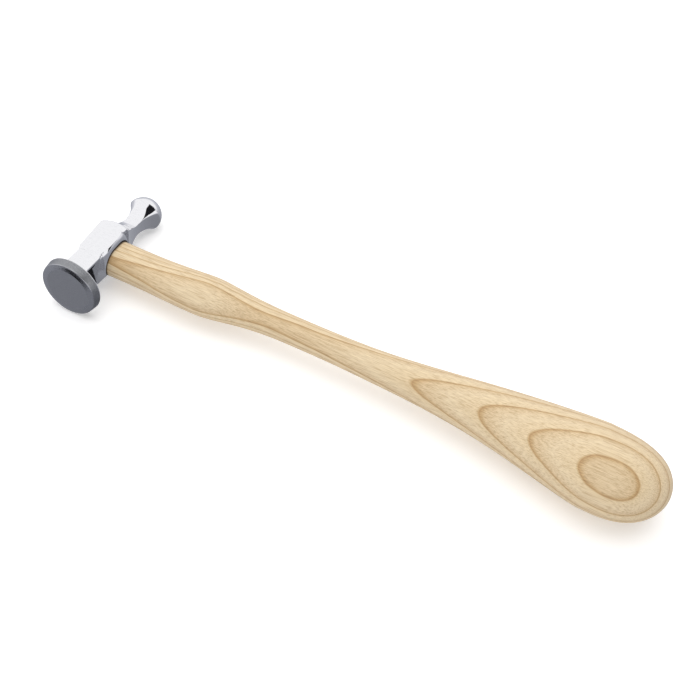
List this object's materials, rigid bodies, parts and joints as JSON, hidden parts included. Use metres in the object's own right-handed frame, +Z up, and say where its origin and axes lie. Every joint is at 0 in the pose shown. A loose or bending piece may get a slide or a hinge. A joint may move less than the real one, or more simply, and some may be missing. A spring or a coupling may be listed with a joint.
{
  "type": "ball peen hammer",
  "caption": "Jeweller's chasing hammer: steel head with a broad flat face and a ball peen, wedged on a bowed ash handle with a swelling bulb grip.",
  "frame": {"origin": "middle of the whole hammer's box in plan, on the ground it lies on", "axes": "+X along the handle from the head to the butt, +Y from the striking face to the ball, +Z up through the upper cheek; the hammer lies at rest on the rim of its disc, its ball and its bulb"},
  "size_m": [0.267, 0.066, 0.0319],
  "materials": {
    "polished_steel": "forged tool steel, mirror polished, with a finely ground striking face and rim",
    "ash": "pale ash, sanded smooth, clear satin lacquer",
    "wedge_wood": "darker hardwood, sawn, end flush with the tenon",
    "wedge_steel": "plain mild steel, as cut"
  },
  "bodies": {
    "root": {"head": "polished_steel", "handle": "ash", "wood_wedge": "wedge_wood", "steel_wedge": "wedge_steel"}
  },
  "joints": []
}
